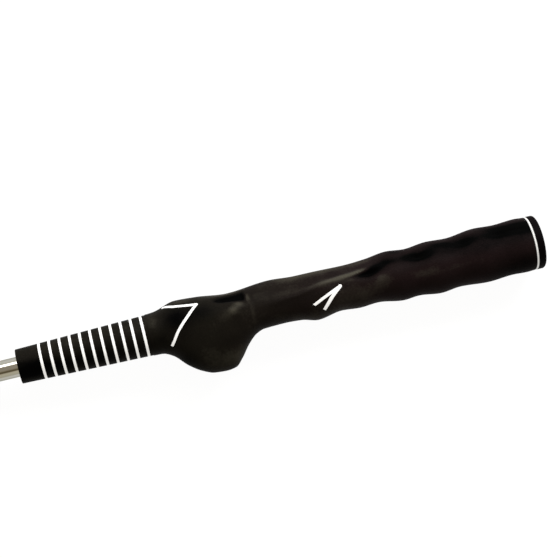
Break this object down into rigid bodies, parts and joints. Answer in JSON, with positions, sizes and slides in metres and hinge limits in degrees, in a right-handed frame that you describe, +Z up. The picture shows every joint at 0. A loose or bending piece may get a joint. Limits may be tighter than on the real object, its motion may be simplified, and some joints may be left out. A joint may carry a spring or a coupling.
{
  "type": "swing trainer stick",
  "caption": "Short weighted golf swing trainer: moulded rubber training grip with a palm lobe, finger valleys and white hand marks on a chromed steel shaft with a weighted head.",
  "frame": {"origin": "centre of the grip's butt face, on the shaft's axis", "axes": "+X along the shaft's axis out of the butt, so the stick lies along -X; +Z up as it lies on a floor; the grip's palm lobe points to -Y and its white hand marks face +Z"},
  "size_m": [0.64, 0.0403, 0.0272],
  "materials": {
    "grip_rubber": "satin moulded rubber",
    "cap_rubber": "satin hard rubber",
    "mark_white": "matt white rubber",
    "shaft_chrome": "polished chrome",
    "sleeve_plastic": "matt",
    "tape": "paper-backed double-sided tape",
    "ferrule_plastic": "glossy black",
    "head_chrome": "satin chrome",
    "fastener_steel": "zinc plated",
    "screw_steel": "black oxide",
    "bumper_rubber": "matt black rubber"
  },
  "bodies": {
    "root": {"grip_sleeve": "grip_rubber", "butt_cap": "cap_rubber", "butt_ring_mark": "mark_white", "ring_mark_01": "mark_white", "ring_mark_02": "mark_white", "ring_mark_03": "mark_white", "ring_mark_04": "mark_white", "ring_mark_05": "mark_white", "ring_mark_06": "mark_white", "ring_mark_07": "mark_white", "ring_mark_08": "mark_white", "ring_mark_09": "mark_white", "ring_mark_10": "mark_white", "ring_mark_11": "mark_white", "lower_hand_mark": "mark_white", "upper_hand_mark": "mark_white", "build_up_sleeve": "sleeve_plastic", "grip_tape": "tape", "shaft": "shaft_chrome", "ferrule": "ferrule_plastic", "head_weight": "head_chrome", "tip_plug": "fastener_steel", "flat_washer": "fastener_steel", "spring_washer": "fastener_steel", "retaining_screw": "screw_steel", "end_bumper": "bumper_rubber"}
  },
  "joints": []
}
